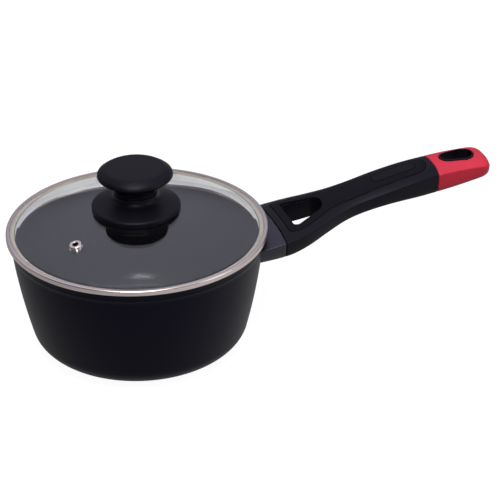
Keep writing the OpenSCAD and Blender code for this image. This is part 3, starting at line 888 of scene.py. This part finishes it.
class SAUCEPAN_OT_glass(bpy.types.Operator):
    """Turn the glass dome and drill its two holes"""

    bl_idname = "saucepan.glass"
    bl_label = "Glass Dome"
    bl_options = {"REGISTER", "UNDO"}

    def execute(self, context):
        s = sizes()
        hole, vent_hole, parts = 4.0, 3.2, 30
        radii = [hole + (DOME_R - hole) * i / parts for i in range(parts + 1)]
        edge_r, round_r = s.band_r - 1.2, GLASS_EDGE / 2
        outline = [(r, dome_height(s, r)) for r in radii]
        outline += arc(edge_r - round_r, s.band_z - GLASS_SEAT - round_r, round_r, 80, -80)
        for r in reversed(radii):
            share = (r - hole) / (DOME_R - hole)
            inner_r = hole + (r - hole) * 0.975
            outline.append((inner_r, dome_height(s, r) - s.glass + (s.glass - GLASS_EDGE) * share ** 6))
        dome = turned("dome", outline, closed=True)
        drill = turned("drill", [(0, -8), (vent_hole, -8), (vent_hole, 8), (0, 8)], 48)
        carve(dome, seat_at_vent(s, drill))
        finished(dome, "glass_dome", "lid", "glass", ["lid_glass"], 50)
        return {"FINISHED"}


def seat_at_vent(s, piece):
    """Moves a piece made round the origin to the steam vent, square to the glass."""
    only(piece)
    r = math.hypot(VENT.x, VENT.y)
    tilt = math.atan2(dome_height(s, r - 1) - dome_height(s, r + 1), 2)
    piece.rotation_euler = (0, tilt, math.atan2(VENT.y, VENT.x))
    out = r + 1.6 * math.sin(tilt)
    piece.location = Vector((VENT.x / r * out, VENT.y / r * out, dome_height(s, out))) * MM
    bpy.ops.object.transform_apply(location=True, rotation=True, scale=True)
    return piece


class SAUCEPAN_OT_band(bpy.types.Operator):
    """Roll the steel band with its skirt, and the seal between band and glass"""

    bl_idname = "saucepan.band"
    bl_label = "Steel Band"
    bl_options = {"REGISTER", "UNDO"}

    def execute(self, context):
        s = sizes()
        t, foot = s.sheet, s.band_z - s.band_h
        lip_r, inner, hem = s.band_r - 2.6, s.skirt_r - s.sheet, s.skirt_z
        outline = ([(lip_r, s.band_z - t), (lip_r - 0.1, s.band_z - t / 2), (lip_r + 0.1, s.band_z - 0.02)]
                   + arc(s.band_r - 0.9, s.band_z - 0.9, 0.9, 85, 5, 6)
                   + arc(s.band_r - 0.6, foot + 0.6, 0.6, 0, -90, 6)
                   + [(s.skirt_r + 0.5, foot), (s.skirt_r + 0.1, foot - 0.2), (s.skirt_r, foot - 0.6),
                      (s.skirt_r, hem + 0.9)]
                   + arc(s.skirt_r - 0.75, hem + 0.6, 0.6, 0, -180, 8)
                   + [(inner - 0.72, hem + 1.1), (inner - 0.3, hem + 2.2), (inner, hem + 2.8),
                      (inner, foot - 0.8), (inner + 0.3, foot + 0.2), (inner + 1, foot + t),
                      (s.band_r - t, foot + t), (s.band_r - t, s.band_z - t)])
        finished(turned("band", outline, closed=True), "steel_band", "lid", "rim_steel", ["lid_rim"], 40)
        r0, r1, z0 = s.skirt_r + 0.4, s.band_r - t - 0.05, foot + t + 0.02
        under, outer = s.band_z - GLASS_SEAT - GLASS_EDGE - 0.05, s.band_r - 1.15
        top = s.band_z - t - 0.03
        outline = [(r0, z0), (r1, z0), (r1, top), (outer, top), (outer, under), (r0, under)]
        finished(turned("seal", outline, closed=True), "seal_ring", "lid", "seal", ["rim_seal"], 30)
        return {"FINISHED"}


class SAUCEPAN_OT_vent(bpy.types.Operator):
    """Turn the steam vent's eyelet and its ring under the glass"""

    bl_idname = "saucepan.vent"
    bl_label = "Steam Vent"
    bl_options = {"REGISTER", "UNDO"}

    def execute(self, context):
        s = sizes()
        bore, tube, brim, grip = 1.9, 3.1, 4.3, s.glass + 0.45
        outline = ([(bore, -grip - 0.9), (bore, 0.2)] + arc(bore + 0.35, 0.7, 0.35, 180, 90, 6)
                   + arc(brim - 1, 0.15, 0.95, 90, 0)
                   + [(brim, 0.03), (tube, 0.03), (tube, -grip - 0.9)])
        eyelet = seat_at_vent(s, turned("eyelet", outline, 64, closed=True))
        finished(eyelet, "vent_eyelet_brim", "lid", "rim_steel", ["vent_eyelet"], 50)
        top = -grip
        outline = [(tube + 0.02, top), (brim, top), (brim, top - 0.35), (brim - 0.3, top - 0.65),
                   (brim - 0.6, top - 0.8), (tube + 0.02, top - 0.8)]
        ring = seat_at_vent(s, turned("ring", outline, 64, closed=True))
        finished(ring, "vent_set_ring", "lid", "rim_steel", ["vent_ring"], 50)
        return {"FINISHED"}


class SAUCEPAN_OT_knob(bpy.types.Operator):
    """Turn the knob's cap and base"""

    bl_idname = "saucepan.knob"
    bl_label = "Knob"
    bl_options = {"REGISTER", "UNDO"}

    def execute(self, context):
        s = sizes()
        top, r, neck, foot, brim = s.knob_z, s.knob_r, s.neck_r, s.flange_z, s.flange_r
        joint = high("knob_base").z
        crown = [(0, 0), (7, 0.06), (12, 0.2), (16, 0.37), (18.4, 0.52), (19.3, 0.72), (20.2, 1.2),
                 (21.6, 2.05), (23, 3), (23.8, 3.65), (r - 0.3, 4.35), (r - 0.05, 4.95), (r, 5.4),
                 (r - 0.12, 5.9), (r - 0.6, 6.5), (22.4, 7.2), (20, 8.1), (17.4, 9.3), (neck + 2.4, 10.9),
                 (neck + 1.1, 12.5), (neck + 0.3, 14.4), (neck, 16)]
        cap = [(out, top - drop) for out, drop in crown] + [(neck, joint), (0, joint)]
        finished(turned("cap", cap), "knob_grip", "lid", "phenolic", ["knob_cap"], 30)
        flare = [(0.5, 0.01), (0.9, 0.15), (1.1, 0.5), (1.1, 1.4), (1.25, 2), (1.6, 2.8), (2.5, 3.7),
                 (4.4, 4.6)]
        edge = [(6.4, 5.47), (1.4, 3.6), (0.7, 3.28), (0.3, 2.95), (0.06, 2.5), (0, 2.1), (0, 0.6),
                (0.1, 0.2), (0.35, 0), (2, 0), (3.4, 1.6)]
        base = ([(0, joint - 0.01)] + [(neck + out, joint - drop) for out, drop in flare]
                + [(brim - back, foot + up) for back, up in edge]
                + [(11, foot + 3.2), (11, foot + 2.4), (0, foot + 2.4)])
        finished(turned("base", base), "knob_foot", "lid", "phenolic", ["knob_base"], 30)
        for node in ("knob_insert", "knob_screw", "base_gasket", "glass_gasket", "backing_washer"):
            repaint(node)
        return {"FINISHED"}


class SAUCEPAN_OT_stage(bpy.types.Operator):
    """Set up the pale floor, the soft studio light and the camera"""

    bl_idname = "saucepan.stage"
    bl_label = "Studio"
    bl_options = {"REGISTER", "UNDO"}

    def execute(self, context):
        t = context.scene.saucepan_stage
        side = Vector((math.cos(t.azimuth), -math.sin(t.azimuth), 0))
        away = Vector((math.sin(t.azimuth), math.cos(t.azimuth), 0))
        self.floor(t, side)
        self.sky(t, side, away)
        self.lamp("key_lamp", Vector((0, 0, 1.45)) - 0.6 * away, 0.8, t.key_power)
        self.lamp("side_lamp", 1.4 * side - 0.5 * away + Vector((0, 0, 0.7)), 0.7, t.side_power)
        self.lamp("front_lamp", Vector((0, 0, 1.15)) - 1.7 * away, 0.6, t.fill_power)
        self.camera(t, side, away)
        context.scene.view_settings.view_transform = "Standard"
        return {"FINISHED"}

    def floor(self, t, side):
        bpy.ops.object.select_all(action="DESELECT")
        bpy.ops.mesh.primitive_plane_add(size=30, location=(0, 0, -0.3 * MM))
        floor = bpy.context.object
        floor.name = "floor"
        material, tree, shader = blank("floor", (0.13, 0.13, 0.131), 0.9, Specular_IOR_Level=0)
        shader.inputs["Emission Color"].default_value = (1, 1, 1, 1)
        seen = add(tree, "LightPath")
        glow = maths(tree, "MULTIPLY", {1: t.floor_glow})
        # Painted light: for reflected rays only, the floor also glows, from 0.25 on the left to 0.6 on the
        # right, so that the pan's right side reflects more light.
        place = add(tree, "TexCoord")
        rightward = add(tree, "VectorMath", {1: side}, operation="DOT_PRODUCT")
        shine = remap(tree, -0.2, 0.4, 0.25, 0.6)
        mirrored = maths(tree, "MULTIPLY")
        both = maths(tree, "ADD")
        join(tree, (seen, "Is Camera Ray", glow, 0), (place, "Object", rightward, 0),
             (rightward, "Value", shine, "Value"), (seen, "Is Glossy Ray", mirrored, 0),
             (shine, "Result", mirrored, 1), (glow, 0, both, 0), (mirrored, 0, both, 1),
             (both, 0, shader, "Emission Strength"))
        floor.data.materials.append(material)

    def sky(self, t, side, away):
        world = bpy.data.worlds.new("studio")
        bpy.context.scene.world = world
        world.use_nodes = True
        tree = world.node_tree
        place = add(tree, "TexCoord")
        facing = add(tree, "VectorMath", {1: away + 0.3 * side}, operation="DOT_PRODUCT")
        amount = remap(tree, -0.5, 0.3, t.front_light, t.back_light, interpolation_type="SMOOTHSTEP")
        split = add(tree, "SeparateXYZ")
        higher = remap(tree, 0.1, 0.95, 0.25, 1.75)
        both = maths(tree, "MULTIPLY")
        join(tree, (place, "Generated", facing, 0), (facing, "Value", amount, "Value"),
             (place, "Generated", split, 0), (split, 2, higher, "Value"), (amount, "Result", both, 0),
             (higher, "Result", both, 1), (both, 0, tree.nodes["Background"], "Strength"))
        tree.nodes["Background"].inputs["Color"].default_value = (0.92, 0.9, 1.08, 1)

    def lamp(self, name, place, size, power):
        bpy.ops.object.light_add(type="AREA", location=place)
        lamp = bpy.context.object
        lamp.name = name
        lamp.data.size = size
        lamp.data.energy = power
        lamp.rotation_euler = (Vector((0, 0, 0.05)) - Vector(place)).to_track_quat("-Z", "Y").to_euler()

    def camera(self, t, side, away):
        up = math.sin(t.elevation) * away + Vector((0, 0, math.cos(t.elevation)))
        ahead = math.cos(t.elevation) * away - Vector((0, 0, math.sin(t.elevation)))
        right = math.cos(t.roll) * side + math.sin(t.roll) * up
        above = math.cos(t.roll) * up - math.sin(t.roll) * side
        eye = Vector((0, 0, t.aim_z)) + t.across * right - t.above * above - t.distance * ahead
        bpy.ops.object.camera_add(location=eye)
        camera = bpy.context.object
        camera.name = "camera"
        camera.data.lens = t.lens
        camera.data.sensor_width = 36
        turn = Matrix((right, above, -ahead)).transposed().to_4x4()
        camera.matrix_world = Matrix.Translation(eye) @ turn
        bpy.context.scene.camera = camera


OPERATORS = (SAUCEPAN_OT_pan, SAUCEPAN_OT_handle, SAUCEPAN_OT_glass, SAUCEPAN_OT_band, SAUCEPAN_OT_vent,
             SAUCEPAN_OT_knob, SAUCEPAN_OT_stage)


class SAUCEPAN_PT_panel(bpy.types.Panel):
    """Builds the saucepan piece by piece"""

    bl_idname = "SAUCEPAN_PT_panel"
    bl_label = "Saucepan"
    bl_space_type = "VIEW_3D"
    bl_region_type = "UI"
    bl_category = "Saucepan"

    def draw(self, context):
        for operator in OPERATORS:
            self.layout.operator(operator.bl_idname)
        scene = context.scene
        for group in (scene.saucepan_sizes, scene.saucepan_finish, scene.saucepan_stage):
            box = self.layout.box()
            for key in group.bl_rna.properties.keys():
                if key not in ("rna_type", "name"):
                    box.prop(group, key)


CLASSES = (SaucepanSizes, SaucepanFinish, SaucepanStage, *OPERATORS, SAUCEPAN_PT_panel)


def register():
    for item in CLASSES:
        bpy.utils.register_class(item)
    bpy.types.Scene.saucepan_sizes = PointerProperty(type=SaucepanSizes)
    bpy.types.Scene.saucepan_finish = PointerProperty(type=SaucepanFinish)
    bpy.types.Scene.saucepan_stage = PointerProperty(type=SaucepanStage)


def unregister():
    del bpy.types.Scene.saucepan_stage
    del bpy.types.Scene.saucepan_finish
    del bpy.types.Scene.saucepan_sizes
    for item in reversed(CLASSES):
        bpy.utils.unregister_class(item)


def main():
    register()
    for operator in OPERATORS:
        getattr(bpy.ops.saucepan, operator.bl_idname.split(".")[1])()


if __name__ == "__main__":
    main()
